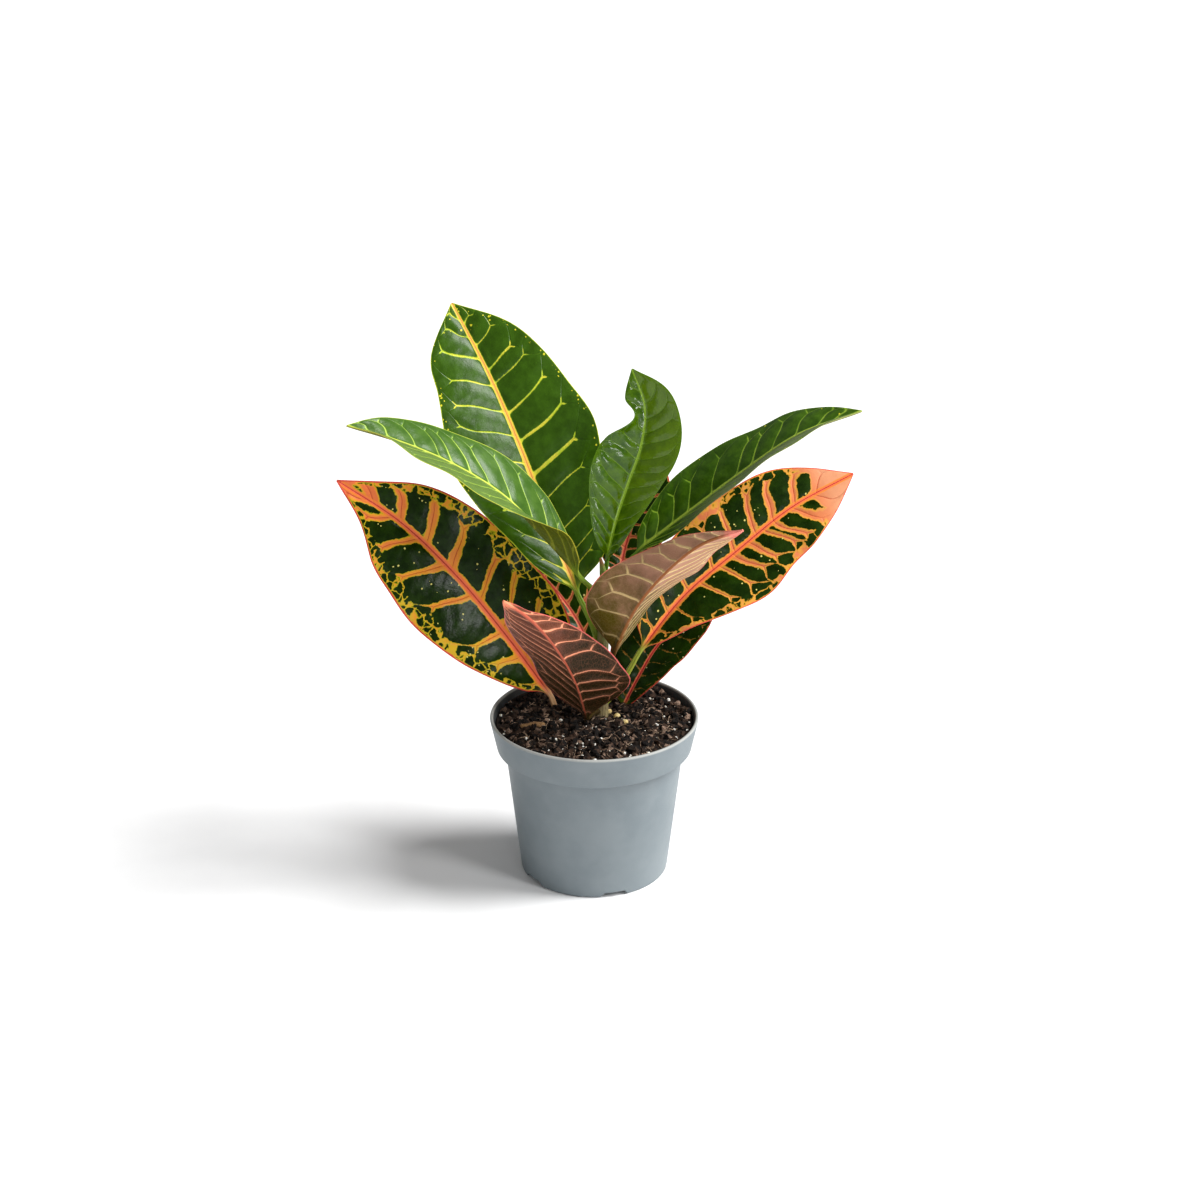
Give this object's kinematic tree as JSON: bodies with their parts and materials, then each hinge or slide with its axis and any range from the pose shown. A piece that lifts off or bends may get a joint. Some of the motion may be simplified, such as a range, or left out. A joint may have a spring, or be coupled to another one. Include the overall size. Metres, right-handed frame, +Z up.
{
  "type": "potted croton",
  "caption": "Potted croton house plant: a short stem with broad folded leaves, green with yellow veins and orange with dark patches, in a tapered grey nursery pot filled with peat.",
  "frame": {"origin": "middle of the pot's foot, on the surface the pot stands on", "axes": "+Z up along the pot's axis and the stem, +X to the plant's right as seen from the front, -Y to the front"},
  "size_m": [0.2936, 0.1542, 0.3174],
  "materials": {
    "pot": "satin",
    "peat": "matte",
    "stem": "matte",
    "leaf_green": "satin",
    "leaf_light_green": "satin",
    "leaf_fresh_green": "gloss",
    "leaf_orange": "satin",
    "leaf_purple": "satin",
    "leaf_dark_green": "satin"
  },
  "bodies": {
    "root": {"pot": "pot", "soil": "peat", "stem": "stem", "leaf_tall": "leaf_green", "leaf_left": "leaf_light_green", "leaf_young": "leaf_fresh_green", "leaf_right": "leaf_green", "leaf_orange_left": "leaf_orange", "leaf_orange_right": "leaf_orange", "leaf_front_right": "leaf_purple", "leaf_front_left": "leaf_purple", "leaf_low_right": "leaf_dark_green", "leaf_back": "leaf_dark_green", "leaf_low_left": "leaf_dark_green"}
  },
  "joints": []
}
